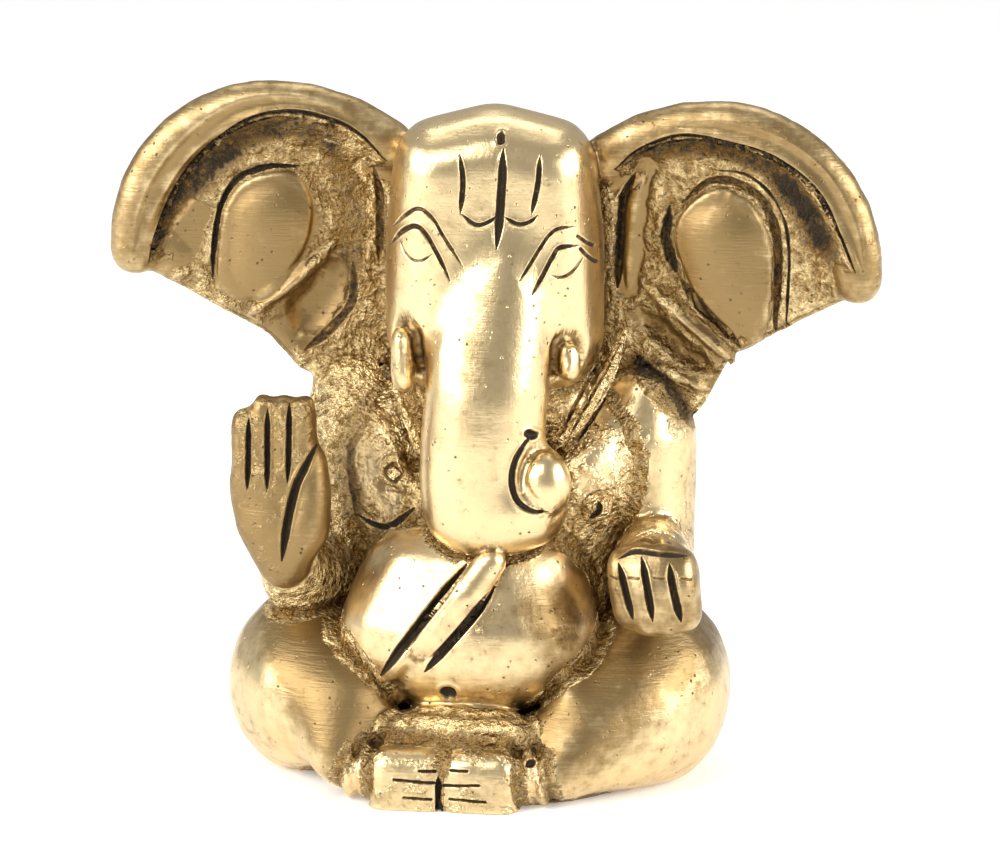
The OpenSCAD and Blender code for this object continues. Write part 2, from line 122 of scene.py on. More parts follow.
# The wax skin. Big members are smoothed a lot, small ones a little.
wax = {
    "voxel": 0.2, "swell": 0.12, "rounds": 150, "lastRounds": 3, "smallMember": 0.08,
    "footing": 0.15,  # mm, whatever lies lower stays flat
    # how far a crease reaches, in rounds, and how firmly it is kept while the rest is smoothed
    "creaseReach": 4, "creaseHold": 0.92, "joinHold": 0.9,
    "softness": {
        "head": 1.0, "head_cap": 1.0, "trunk": 1.0, "belly": 1.0, "torso": 1.0, "lap": 0.5,
        "right_leg": 1.0, "left_leg": 1.0, "left_upper_arm": 0.9, "right_upper_arm": 0.9,
        "right_ear": 0.7, "left_ear": 0.7, "right_ear_rim": 0.35, "left_ear_rim": 0.35,
        "right_ear_lobe": 0.5, "left_ear_lobe": 0.5, "right_forearm": 0.6, "left_forearm": 0.6,
        "right_palm": 0.35, "right_thumb": 0.25, "left_fist": 0.4, "trunk_tip": 0.2,
        "right_foot": 0.35, "left_foot": 0.35, "sash": 0.15, "neck_scarf": 0.9,
        "right_fingers": 0.3, "left_fingers": 0.8,
    },
    # mm of wax added to close small gaps, and the share of it that is scraped off again
    "plump": {
        "right_fingers": 0.42, "left_fingers": 0.55, "right_foot": 0.5, "left_foot": 0.5, "trunk_tip": 0.3,
        "right_ear_rim": 0.35, "left_ear_rim": 0.3, "neck_scarf": -1.0,
    },
    "forward": {"lap": 1.6},  # mm that the front of a member is built up
    # wax pressed into deep corners: member beside it, its middle from the member's, half sizes
    "pressed": [
        ("belly", (0.0, -5.7, -8.9), (8.0, 3.0, 2.1)), ("belly", (-9.6, -3.6, -6.4), (1.6, 3.2, 2.4)),
        ("belly", (9.4, -3.6, -6.2), (1.6, 3.2, 2.4)), ("right_foot", (2.9, 0.2, 0.0), (1.8, 2.0, 2.25)),
    ],
    "scraped": {"right_fingers": 0.7, "left_fingers": 0.6, "right_foot": 0.6, "left_foot": 0.6},
    "crown": (53.0, 0.3),  # the head keeps its edge above this height, to this share
    # members that run into each other without a crease
    "blended": [
        {"head", "trunk", "head_cap"}, {"torso", "right_upper_arm", "left_upper_arm", "lap"},
        {"right_upper_arm", "right_forearm"}, {"left_upper_arm", "left_forearm", "left_fist"},
        {"right_palm", "right_fingers", "right_thumb"}, {"right_palm", "right_forearm"},
        {"left_fist", "left_fingers"}, {"trunk", "trunk_tip"}, {"right_foot", "left_foot"},
        {"right_ear", "right_ear_lobe", "right_ear_rim"}, {"left_ear", "left_ear_lobe", "left_ear_rim"},
        {"belly", "torso", "right_upper_arm", "right_forearm"}, {"neck_scarf", "torso"},
        {"right_chest_ring", "torso"}, {"left_chest_ring", "torso"}, {"right_ear", "right_upper_arm"},
    ],
    # joins that are filled and rubbed down once more: members, spread in rounds, rounds of smoothing
    "filled": [
        ({"head", "trunk"}, 16, 260), ({"left_upper_arm", "torso"}, 8, 60),
        ({"belly", "torso", "right_upper_arm", "right_forearm"}, 10, 130),
        ({"neck_scarf", "torso"}, 12, 160),
        ({"right_foot", "left_foot"}, 8, 120), ({"right_chest_ring", "torso"}, 4, 30),
        ({"left_chest_ring", "torso"}, 4, 30), ({"right_ear", "right_upper_arm"}, 4, 30),
        ({"belly", "lap", "right_leg", "left_leg"}, 7, 90), ({"belly", "lap"}, 12, 200),
        ({"lap", "right_foot", "left_foot"}, 5, 40),
        ({"right_forearm", "right_leg", "torso"}, 5, 40),
        ({"left_fist", "left_leg", "left_upper_arm"}, 4, 25),
    ],
}


def memberCopy(name):
    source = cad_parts[name]
    obj = bpy.data.objects.new("wax_" + name, source.data.copy())
    bpy.context.scene.collection.objects.link(obj)
    obj.data.transform(Matrix.Scale(mm, 4))
    only(obj)
    bpy.ops.object.mode_set(mode="EDIT")
    bpy.ops.mesh.select_all(action="SELECT")
    bpy.ops.mesh.remove_doubles(threshold=0.001)
    bpy.ops.mesh.normals_make_consistent(inside=False)
    bpy.ops.object.mode_set(mode="OBJECT")
    return obj


def plumped(members):
    for name, thick in wax["plump"].items():
        obj = members[name]
        points = pointsOf(obj) + normalsOf(obj) * thick
        points[:, 2] = np.maximum(points[:, 2], 0)
        movePoints(obj, points)
    for name, lift in wax["forward"].items():
        points = pointsOf(members[name])
        points[:, 1] -= lift * np.clip(-normalsOf(members[name])[:, 1], 0, 1)
        movePoints(members[name], points)
    for number, (name, offset, half) in enumerate(wax["pressed"]):
        middle = centreOf(name) + np.array(offset)
        bpy.ops.mesh.primitive_uv_sphere_add(segments=32, ring_count=16, radius=1, location=middle)
        lump = bpy.context.active_object
        lump.scale = half
        bpy.ops.object.transform_apply(location=True, rotation=False, scale=True)
        members["pressed_%d" % number] = lump


def memberTree(members):
    points, faces, owner = [], [], []
    for name, obj in members.items():
        start = len(points)
        points += [v.co.copy() for v in obj.data.vertices]
        faces += [[start + i for i in p.vertices] for p in obj.data.polygons]
        owner += [index[name]] * len(obj.data.polygons)
    return BVHTree.FromPolygons(points, faces), np.array(owner)


def joined(members, name):
    bpy.ops.object.select_all(action="DESELECT")
    for obj in members.values():
        obj.select_set(True)
    bpy.context.view_layer.objects.active = list(members.values())[0]
    bpy.ops.object.join()
    obj = bpy.context.active_object
    obj.name = name
    return obj


def ownersOf(points, tree, owner):
    return np.array([owner[tree.find_nearest(p)[2]] for p in points.tolist()])


def spread(line, pairs, rounds, reach):
    # a mark of 1 grows over its neighbours and fades out after `reach` rounds
    fade = 1 - 1 / (reach + 1)
    for turn in range(rounds):
        grown = line.copy()
        np.maximum.at(grown, pairs[:, 0], line[pairs[:, 1]] * fade)
        np.maximum.at(grown, pairs[:, 1], line[pairs[:, 0]] * fade)
        line = grown
    return line


def creases(pairs, own, reach, families):
    # 1 on the lines where two members meet, apart from those that share a family
    meets = own[pairs[:, 0]] != own[pairs[:, 1]]
    for family in families:
        ids = [index[name] for name in family]
        meets &= ~(np.isin(own[pairs[:, 0]], ids) & np.isin(own[pairs[:, 1]], ids))
    line = np.zeros(len(own))
    line[pairs[meets].ravel()] = 1
    return spread(line, pairs, reach, reach)


def meeting(pairs, own, family, reach):
    # 1 on the line where the members of one family meet each other
    ids = [index[name] for name in family]
    ends = own[pairs]
    meets = (ends[:, 0] != ends[:, 1]) & np.isin(ends, ids).all(1)
    line = np.zeros(len(own))
    line[pairs[meets].ravel()] = 1
    return spread(line, pairs, reach, reach * 3)


def smoothed(obj, weights, rounds):
    group(obj, "free", weights)
    applied(obj, "SMOOTH", factor=0.5, iterations=rounds, vertex_group="free")


members = {name: memberCopy(name) for name in names}
tree, faceOwner = memberTree(members)
plumped(members)
skin = joined(members, "skin")
applied(skin, "REMESH", mode="VOXEL", voxel_size=wax["voxel"])
print("wax skin:", len(skin.data.vertices), "points")

own = ownersOf(pointsOf(skin), tree, faceOwner)
pairs = edgesOf(skin)
soft = np.array([wax["softness"].get(name, wax["smallMember"]) for name in names])[own]
crease = creases(pairs, own, wax["creaseReach"], wax["blended"])
points = pointsOf(skin)
level = points[:, 2] < wax["footing"]
scraped = np.array([wax["plump"].get(name, 0) * wax["scraped"].get(name, 0) for name in names])[own]
soft[(points[:, 2] > wax["crown"][0]) & (own == index["head"])] *= wax["crown"][1]
swelling = wax["swell"] * soft * (1 - crease) - scraped
movePoints(skin, points + normalsOf(skin) * (swelling * ~level)[:, None])
smoothed(skin, np.where(level, 0, soft * (1 - wax["creaseHold"] * crease)), wax["rounds"])
for family, reach, rounds in wax["filled"]:
    others = creases(pairs, own, wax["creaseReach"], [family])
    join = ease(meeting(pairs, own, family, reach), 0.5, 1) * (1 - wax["joinHold"] * others) * ~level
    smoothed(skin, join, rounds)
smoothed(skin, np.where(level, 0, 1.0), wax["lastRounds"])
print("wax smoothed")


# Lines on the ears that more than one job follows, as x, z from the middle of the ear's box.
rimLine = {  # where the rim begins
    "right_ear": [
        (-9.1, -2.7), (-8.3, 0.2), (-6.5, 4.0), (-4.0, 7.1), (-0.7, 9.6), (2.8, 10.4), (6.2, 9.8),
        (8.6, 8.6), (10.8, 6.3),
    ],
    "left_ear": [
        (-9.9, 7.7), (-7.6, 9.6), (-4.2, 10.8), (-0.7, 10.4), (3.5, 9.3), (7.1, 6.7), (9.1, 3.0),
        (10.4, 0.1),
    ],
}
darkBand = {  # the hollow below the rim
    "right_ear": [(-8.3, -1.2), (-7.1, 1.8), (-4.6, 5.7), (-1.2, 8.0), (2.6, 9.0), (5.9, 8.2)],
    "left_ear": [(-8.9, 8.8), (-4.3, 9.8), (-0.1, 9.4), (3.8, 7.6), (6.6, 4.5), (8.1, 1.4)],
}
# Chasing. A cut is (width, depth, how dark, points): the points are x, z from the middle of the
# member's box, a negative depth raises a ridge, and a curve is drawn through the points.
chasing = {
    "head": {
        "on": ["head", "trunk"],
        "cuts": [
            (0.75, 0.34, 1.0, [(1.3, 10.25), (1.35, 9.95)]),
            (0.78, 0.42, 1.0, [(1.6, 9.3), (1.6, 7.2), (1.5, 5.5), (1.4, 3.7), (1.2, 1.2)]),
            (0.5, 0.3, 0.9, [(4.6, 8.8), (4.5, 6.6), (4.0, 4.0)]),
            (0.5, 0.3, 0.9, [(-1.9, 8.8), (-1.6, 6.7), (-1.8, 4.0)]),
            (0.36, 0.24, 0.8, [(-1.75, 4.0), (-0.9, 3.3), (-0.2, 3.1), (0.6, 3.4), (1.25, 3.9)]),
            (0.36, 0.24, 0.8, [(1.75, 3.8), (2.6, 3.3), (3.3, 3.2), (4.05, 3.5), (4.5, 3.95)]),
            (0.36, 0.22, 0.7, [
                (-7.8, 2.3), (-6.5, 3.6), (-5.3, 4.3), (-4.2, 3.7), (-3.2, 2.1), (-2.3, 0.7), (-1.5, -0.4),
            ]),
            (0.44, 0.27, 0.8, [
                (-8.0, 0.8), (-6.9, 2.1), (-5.7, 2.8), (-4.8, 2.4), (-3.8, 0.8), (-2.6, -1.6),
            ]),
            (0.28, 0.16, 0.6, [(-7.0, 1.4), (-6.6, 0.6), (-5.8, 0.0), (-5.0, 0.0), (-4.1, 0.6)]),
            (0.36, 0.22, 0.7, [(3.2, -1.3), (3.9, -0.2), (4.6, 1.0), (5.4, 2.2), (6.2, 2.8), (7.4, 2.8)]),
            (0.44, 0.27, 0.8, [(4.2, -2.5), (5.0, -1.0), (5.7, 0.4), (6.3, 1.2), (7.7, 1.2)]),
            (0.28, 0.16, 0.6, [(5.4, -1.0), (6.3, -1.3), (7.2, -0.9), (8.0, 0.1)]),
            (0.26, 0.16, 0.8, [(7.6, 2.0), (8.6, 0.9)]),
            (0.26, 0.16, 0.8, [(7.8, 0.9), (8.8, -0.6)]),
        ],
    },
    "trunk": {
        "on": ["trunk", "trunk_tip"],
        "cuts": [
            (0.55, 0.32, 1.0, [
                (3.4, -4.4), (2.9, -5.2), (2.2, -6.6), (2.0, -8.3), (2.5, -9.7), (3.7, -10.5), (5.0, -10.6),
            ]),
            (0.7, 0.45, 1.0, [(3.2, -4.3), (3.55, -4.6)]),
        ],
    },
    "torso": {
        "on": ["torso", "lap", "belly"],
        "cuts": [
            (0.5, 0.35, 1.0, [(-11.2, 0.7), (-9.9, 0.15), (-8.3, 0.2), (-7.0, 1.0), (-5.7, 2.1)]),
            (0.8, 0.4, 1.0, [(-12.3, 9.4), (-12.0, 9.3)]),
            (1.6, -0.3, 0.0, [(-12.3, 10.4), (-11.9, 10.4)]),
        ],
    },
    "neck_scarf": {
        "on": ["neck_scarf", "torso"],
        "cuts": [
            (0.35, 0.25, 0.55, [(8.9, 5.8), (7.8, 3.8), (7.0, 2.3), (5.9, 0.1), (4.9, -2.2)]),
            (0.45, 0.3, 0.7, [(10.6, 5.2), (9.4, 2.8), (7.9, 0.0), (6.2, -2.9)]),
            (0.3, 0.2, 0.4, [(9.7, 5.6), (8.6, 3.3), (7.4, 1.1), (5.6, -2.4)]),
        ],
    },
    "right_palm": {
        "on": ["right_palm", "right_thumb", "right_fingers"],
        "cuts": [
            (0.75, 0.55, 1.0, [(4.1, 6.9), (3.4, 5.4), (2.6, 3.8), (2.1, 1.9), (1.7, -0.2), (1.3, -2.8)]),
        ],
    },
    "right_fingers": {
        "on": ["right_palm", "right_fingers"],
        "cuts": [
            (0.5, 0.5, 1.0, [(-1.9, 2.6), (-1.9, -0.5), (-2.0, -3.3)]),
            (0.5, 0.5, 1.0, [(-0.3, 3.5), (-0.3, 0.0), (-0.3, -3.3)]),
            (0.5, 0.5, 1.0, [(1.5, 4.0), (1.5, 0.9), (1.4, -2.6)]),
        ],
    },
    "left_fingers": {
        "on": ["left_fist", "left_fingers"],
        "cuts": [
            (0.66, 0.5, 1.0, [(-2.8, 2.4), (-2.2, 0.5), (-1.6, -2.2)]),
            (0.66, 0.5, 1.0, [(-0.9, 3.0), (-0.3, 0.6), (0.1, -2.2)]),
            (0.66, 0.5, 0.9, [(1.4, 2.6), (1.9, 0.2), (2.4, -2.3)]),
            (0.4, 0.3, 0.9, [(-2.8, 2.8), (-1.5, 3.4), (0.3, 3.3), (2.7, 3.1)]),
            (0.22, 0.1, 0.5, [(-3.6, 1.3), (-2.9, 1.2)]),
            (0.22, 0.1, 0.5, [(-1.9, 1.4), (-1.0, 1.4)]),
            (0.22, 0.1, 0.5, [(0.2, 1.5), (1.1, 1.5)]),
            (0.22, 0.1, 0.5, [(2.4, 1.5), (3.2, 1.3)]),
        ],
    },
    "belly": {
        "on": ["belly", "sash", "torso"],
        "cuts": [
            (1.35, 0.75, 1.0, [(-0.85, -5.45), (-0.7, -5.4)]),
            (2.1, -0.45, 0.0, [(-3.4, -1.2), (-5.2, -3.4), (-6.4, -5.4), (-6.7, -6.0)]),
            (0.9, 0.6, 1.0, [(0.6, 5.3), (-1.5, 2.5), (-3.7, -0.4), (-6.5, -4.3)]),
            (0.85, 0.5, 0.9, [(3.0, 3.6), (1.1, 1.0), (-0.9, -1.4), (-2.6, -3.5)]),
        ],
    },
    "right_foot": {
        "on": ["right_foot", "left_foot", "right_anklet"],
        "cuts": [
            (0.3, 0.18, 0.9, [(1.2, 1.1), (2.5, 1.05)]),
            (0.3, 0.2, 0.9, [(-0.9, 0.3), (2.4, 0.1)]),
            (0.26, 0.16, 0.8, [(-0.1, -1.2), (2.2, -1.3)]),
            (0.6, 0.5, 1.0, [(2.75, 0.6), (2.8, -0.8), (2.8, -2.7)]),
        ],
    },
    "left_foot": {
        "on": ["left_foot", "right_foot", "left_anklet"],
        "cuts": [
            (0.28, 0.16, 0.9, [(-2.3, 1.2), (-0.9, 1.25)]),
            (0.3, 0.2, 0.9, [(-2.9, -0.1), (0.1, 0.1)]),
            (0.26, 0.16, 0.8, [(-2.4, -1.2), (0.6, -1.3)]),
        ],
    },
    "left_anklet": {"on": ["left_anklet"], "cuts": [(0.6, 0.35, 1.0, [(-0.5, 1.5), (-0.3, 1.5)])]},
    "right_ear": {
        "on": ["right_ear", "right_ear_rim", "right_ear_lobe", "right_upper_arm", "torso"],
        "cuts": [
            (0.5, 0.35, 0.8, rimLine["right_ear"]),
            (2.4, 0.35, 0.35, darkBand["right_ear"]),
            (1.5, 0.3, 0.0, [
                (-10.2, -1.5), (-9.4, 1.6), (-7.5, 5.2), (-4.8, 8.3), (-1.6, 10.4), (1.9, 11.1), (5.6, 10.7),
                (8.3, 9.6),
            ]),
            (2.0, -0.9, 0.0, [(6.2, -0.6), (4.7, -2.4), (3.3, -3.6), (0.9, -5.4), (-1.2, -7.2)]),
            (4.8, 1.0, 0.1, [(6.8, -2.4), (5.2, -5.4), (3.0, -8.6)]),
            (0.8, 0.3, 0.7, [(7.7, -2.6), (7.6, -5.9), (5.8, -8.3), (3.6, -10.2)]),
            (0.8, 0.3, 0.6, [(9.6, 5.6), (10.0, 2.5), (9.9, -2.3)]),
        ],
    },
    "left_ear": {
        "on": ["left_ear", "left_ear_rim", "left_ear_lobe"],
        "cuts": [
            (0.5, 0.35, 0.8, rimLine["left_ear"]),
            (2.0, 0.3, 0.35, darkBand["left_ear"]),
            (1.3, 0.25, 0.0, [(-4.4, 11.6), (-0.7, 11.6), (3.9, 10.4), (7.5, 7.8), (9.8, 3.8), (11.0, 0.3)]),
            (0.8, 0.45, 0.8, [(-8.2, 7.4), (-9.3, 5.0), (-9.6, 1.5), (-9.8, -2.5)]),
            (1.7, -0.5, 0.0, [(-7.3, 8.1), (-8.2, 5.0), (-8.6, 0.8), (-8.9, -2.6)]),
            (1.0, 0.5, 0.8, [(-5.4, 4.6), (-5.7, 1.8), (-4.9, -0.9)]),
            (1.2, 0.4, 0.6, [(-4.4, -1.6), (-2.2, -4.2), (0.6, -6.9)]),
            (1.5, -0.9, 0.0, [(-7.7, -1.9), (-3.9, -5.0), (-1.6, -6.9), (0.6, -8.8)]),
            (2.4, 0.9, 0.35, [(-7.7, -4.7), (-4.6, -7.3), (-1.6, -9.6)]),
            (1.4, -0.7, 0.0, [(-6.6, -9.0), (-4.2, -10.0), (-2.0, -10.9)]),
            (1.1, 0.6, 0.95, [(-8.1, -8.4), (-5.9, -10.9), (-4.0, -12.6)]),
        ],
    },
    "right_chest_ring": {
        "on": ["right_chest_ring", "torso"],
        "cuts": [(0.42, 0.2, 0.55, [(0.75, -0.2), (0.0, 0.6), (-0.75, -0.2), (0.0, -1.0), (0.75, -0.2)])],
    },
    "left_chest_ring": {
        "on": ["left_chest_ring", "torso"],
        "cuts": [(0.5, 0.3, 0.9, [(-0.6, -0.9), (0.3, -0.1), (0.2, 0.6)])],
    },
    "right_ear_lobe": {
        "on": ["right_ear", "right_ear_lobe"],
        "cuts": [
            (0.55, 0.4, 0.9, [(-4.9, -3.2), (-4.8, -0.7), (-4.1, 3.2), (-2.6, 5.5), (-0.3, 6.4), (2.4, 6.5)]),
        ],
    },
    "left_ear_lobe": {
        "on": ["left_ear", "left_ear_lobe"],
        "cuts": [
            (0.4, 0.3, 0.6, [(1.3, -5.9), (-0.8, -3.8), (-2.6, -1.2)]),
            (0.8, 0.4, 0.62, [(-3.4, 6.0), (-0.9, 8.0), (1.8, 7.6), (3.8, 5.8), (4.7, 2.2), (4.4, -5.0)]),
            (0.3, 0.2, 0.8, [(-0.9, 8.9), (2.2, 8.5), (4.6, 6.2), (5.6, 2.4), (5.3, -5.0)]),
        ],
    },
}
sunkFields = {"right_ear": 0.3, "left_ear": 0.3}  # mm the ear fields lie below their rims
moats = {"right_tusk": 0.4, "left_tusk": 0.4, "trunk_tip": 0.25}  # mm cut round small members
# flat petals left standing inside the ears: (members, mm they stand out, outline from the lobe's middle)
petals = {
    "right_ear_lobe": (["right_ear", "right_ear_lobe"], 0.35, [
        (-4.7, -4.0), (-4.5, -0.7), (-3.8, 3.0), (-2.4, 5.1), (-0.3, 6.0), (2.2, 6.0), (3.5, 3.6),
        (3.1, 0.3), (1.4, -2.5), (-0.9, -4.5), (-3.0, -5.0),
    ]),
    "left_ear_lobe": (["left_ear", "left_ear_lobe"], 0.35, [
        (1.5, -6.2), (-0.6, -3.8), (-2.3, -1.2), (-4.0, 3.0), (-2.9, 5.9), (-0.4, 7.5), (1.7, 6.9),
        (3.3, 5.1), (4.3, 1.6), (3.8, -4.6),
    ]),
}
chisel = {
    "grid": 2,  # new edges across each face near a cut
    "margin": 0.12,  # mm of finer faces beside a cut
    "facing": -0.08,  # only faces whose normal's y is below this are reached
    "crisp": 1.4,  # mm, wider cuts are soft hollows, with no lip and no finer faces
    "lip": 0.1,  # height of the lip beside a crisp cut, as a share of its depth
    "taper": 0.22,  # share of a cut's length that each of its ends narrows over
    "creaseCut": 0.08,  # mm that every crease between members is deepened
    "rimReach": 1.8,  # mm either side of the rim line that it decides which member is which
}


def curveThrough(stops, steps=6):
    # a smooth curve through the stops, the same on every run
    stops = [np.array(s, float) for s in stops]
    if len(stops) == 2:
        return np.array(stops)
    ends = [2 * stops[0] - stops[1]] + stops + [2 * stops[-1] - stops[-2]]
    out = []
    for a, b, c, d in zip(ends, ends[1:], ends[2:], ends[3:]):
        for t in np.arange(steps) / steps:
            bend = 2 * a - 5 * b + 4 * c - d
            twist = 3 * b - a - 3 * c + d
            out.append(0.5 * (2 * b + (c - a) * t + bend * t**2 + twist * t**3))
    return np.array(out + [stops[-1]])


def nearCurve(flat, curve):
    # distance to the curve, and how far along it the nearest place is, from 0 to 1
    best = np.full(len(flat), 1e9)
    along = np.zeros(len(flat))
    runs = np.linalg.norm(np.diff(curve, axis=0), axis=1)
    start = np.concatenate([[0], np.cumsum(runs)])
    for i, run in enumerate(runs):
        step = curve[i + 1] - curve[i]
        t = np.clip((flat - curve[i]) @ step / max(run * run, 1e-9), 0, 1)
        gap = np.linalg.norm(flat - curve[i] - t[:, None] * step, axis=1)
        closer = gap < best
        best[closer] = gap[closer]
        along[closer] = (start[i] + t[closer] * run) / max(start[-1], 1e-9)
    return best, along


def cutList():
    # every cut with its curve in the frame, and the members it may touch
    for node, work in chasing.items():
        middle = centreOf(node)[[0, 2]]
        ids = [index[name] for name in work["on"]]
        for width, depth, dark, stops in work["cuts"]:
            yield ids, width, depth, dark, curveThrough(stops) + middle


def reached(flat, front, own, ids, curve, beyond):
    # the points that a curve can touch, up to this many mm beyond it
    near = (flat > curve.min(0) - beyond).all(1) & (flat < curve.max(0) + beyond).all(1)
    return np.nonzero(near & front & np.isin(own, ids))[0]


def nearCuts(flat, front, own):
    near = np.zeros(len(flat), bool)
    margin = chisel["margin"]
    for ids, width, depth, dark, curve in cutList():
        if width < chisel["crisp"]:
            pick = reached(flat, front, own, ids, curve, width + margin)
            near[pick] |= nearCurve(flat[pick], curve)[0] < width * 0.7 + margin
    return near


def refined(obj, tree, owner):
    # finer faces along the chisel lines, so that their edges come out crisp
    points = pointsOf(obj)
    own = ownersOf(points, tree, owner)
    near = nearCuts(points[:, [0, 2]], normalsOf(obj)[:, 1] < chisel["facing"], own)
    corners = readNumbers(obj.data.polygons, "vertices", 4).astype(int)
    obj.data.polygons.foreach_set("select", near[corners].all(1))
    only(obj)
    bpy.ops.object.mode_set(mode="EDIT")
    bpy.ops.mesh.select_mode(type="FACE")
    bpy.ops.mesh.subdivide(number_cuts=chisel["grid"])
    bpy.ops.object.mode_set(mode="OBJECT")
    return ownersOf(pointsOf(obj), tree, owner)


def chased(obj, own):
    # returns how dark the bottom of each cut is
    points = pointsOf(obj)
    normals = normalsOf(obj)
    flat = points[:, [0, 2]]
    front = normals[:, 1] < chisel["facing"]
    move = np.zeros(len(points))
    dirt = np.zeros(len(points))
    for ids, width, depth, dark, curve in cutList():
        pick = reached(flat, front, own, ids, curve, width * 1.6)
        gap, along = nearCurve(flat[pick], curve)
        tip = 1
        if len(curve) > 2:
            tip = np.sqrt(np.clip(np.minimum(along, 1 - along) / chisel["taper"], 0.06, 1))
        r = gap / (width / 2 * tip)
        bowl = np.clip(1 - r * r, 0, 1) ** (1.2 if depth > 0 else 2)
        lipHeight = chisel["lip"] if depth > 0 and width < chisel["crisp"] else 0
        lip = np.clip(1 - ((r - 1.3) / 0.4) ** 2, 0, 1) * lipHeight
        move[pick] += depth * tip * (lip - bowl)
        dirt[pick] = np.maximum(dirt[pick], dark * ease(1.15 - r, 0, 0.5))
    movePoints(obj, points + normals * move[:, None])
    return dirt


def inside(flat, outline):
    # crossings of a ray towards +x
    found = np.zeros(len(flat), bool)
    for (xa, za), (xb, zb) in zip(outline, np.roll(outline, -1, axis=0)):
        rises = (za > flat[:, 1]) != (zb > flat[:, 1])
        with np.errstate(divide="ignore", invalid="ignore"):
            found ^= rises & (flat[:, 0] < (xb - xa) * (flat[:, 1] - za) / (zb - za) + xa)
    return found


def petalMask(points, normals, own):
    # 1 on the petals, falling to 0 across their edge, and the height to add
    flat = points[:, [0, 2]]
    mask = np.zeros(len(points))
    height = np.zeros(len(points))
    for node, (on, stand, stops) in petals.items():
        ids = [index[name] for name in on]
        outline = curveThrough(stops + [stops[0]], 4) + centreOf(node)[[0, 2]]
        pick = reached(flat, normals[:, 1] < 0, own, ids, outline, 1)
        gap = nearCurve(flat[pick], outline)[0] * np.where(inside(flat[pick], outline), 1, -1)
        mask[pick] = ease(gap, -0.1, 0.15)
        height[pick] = stand * ease(gap, -0.2, 0.35)
    return mask, height


def undercut(obj, own, pairs):
    points = pointsOf(obj)
    line = creases(pairs, own, 5, wax["blended"])
    move = chisel["creaseCut"] * ease(line, 0.3, 1)
    for node, depth in moats.items():
        ring = creases(pairs, np.where(own == index[node], 1, 0), 6, [])
        move = np.maximum(move, depth * ease(ring, 0.35, 0.9))
    for node, depth in sunkFields.items():
        wall = spread(np.where(own == index[node], 0.0, 1.0), pairs, 8, 8)
        move += depth * (1 - ease(wall, 0.1, 0.75)) * (normalsOf(obj)[:, 1] < -0.2)
    petal, height = petalMask(points, normalsOf(obj), own)
    move -= height
    move[points[:, 2] < wax["footing"]] = 0
    movePoints(obj, points - normalsOf(obj) * move[:, None])
    return line, petal


def redrawn(own, points, normals):
    # ear and rim meet along the drawn line, on the front
    own = own.copy()
    flat = points[:, [0, 2]]
    for ear, stops in rimLine.items():
        ids = [index[ear], index[ear + "_rim"]]
        line = curveThrough(stops) + centreOf(ear)[[0, 2]]
        pick = np.nonzero(np.isin(own, ids) & (normals[:, 1] < 0))[0]
        pick = pick[nearCurve(flat[pick], line)[0] < chisel["rimReach"]]
        own[pick] = np.where(inside(flat[pick], line), *ids)
    return own


own = refined(skin, tree, faceOwner)
own = redrawn(own, pointsOf(skin), normalsOf(skin))
pairs = edgesOf(skin)
crease, petal = undercut(skin, own, pairs)
cutDirt = chased(skin, own)
print("chased:", len(skin.data.vertices), "points")
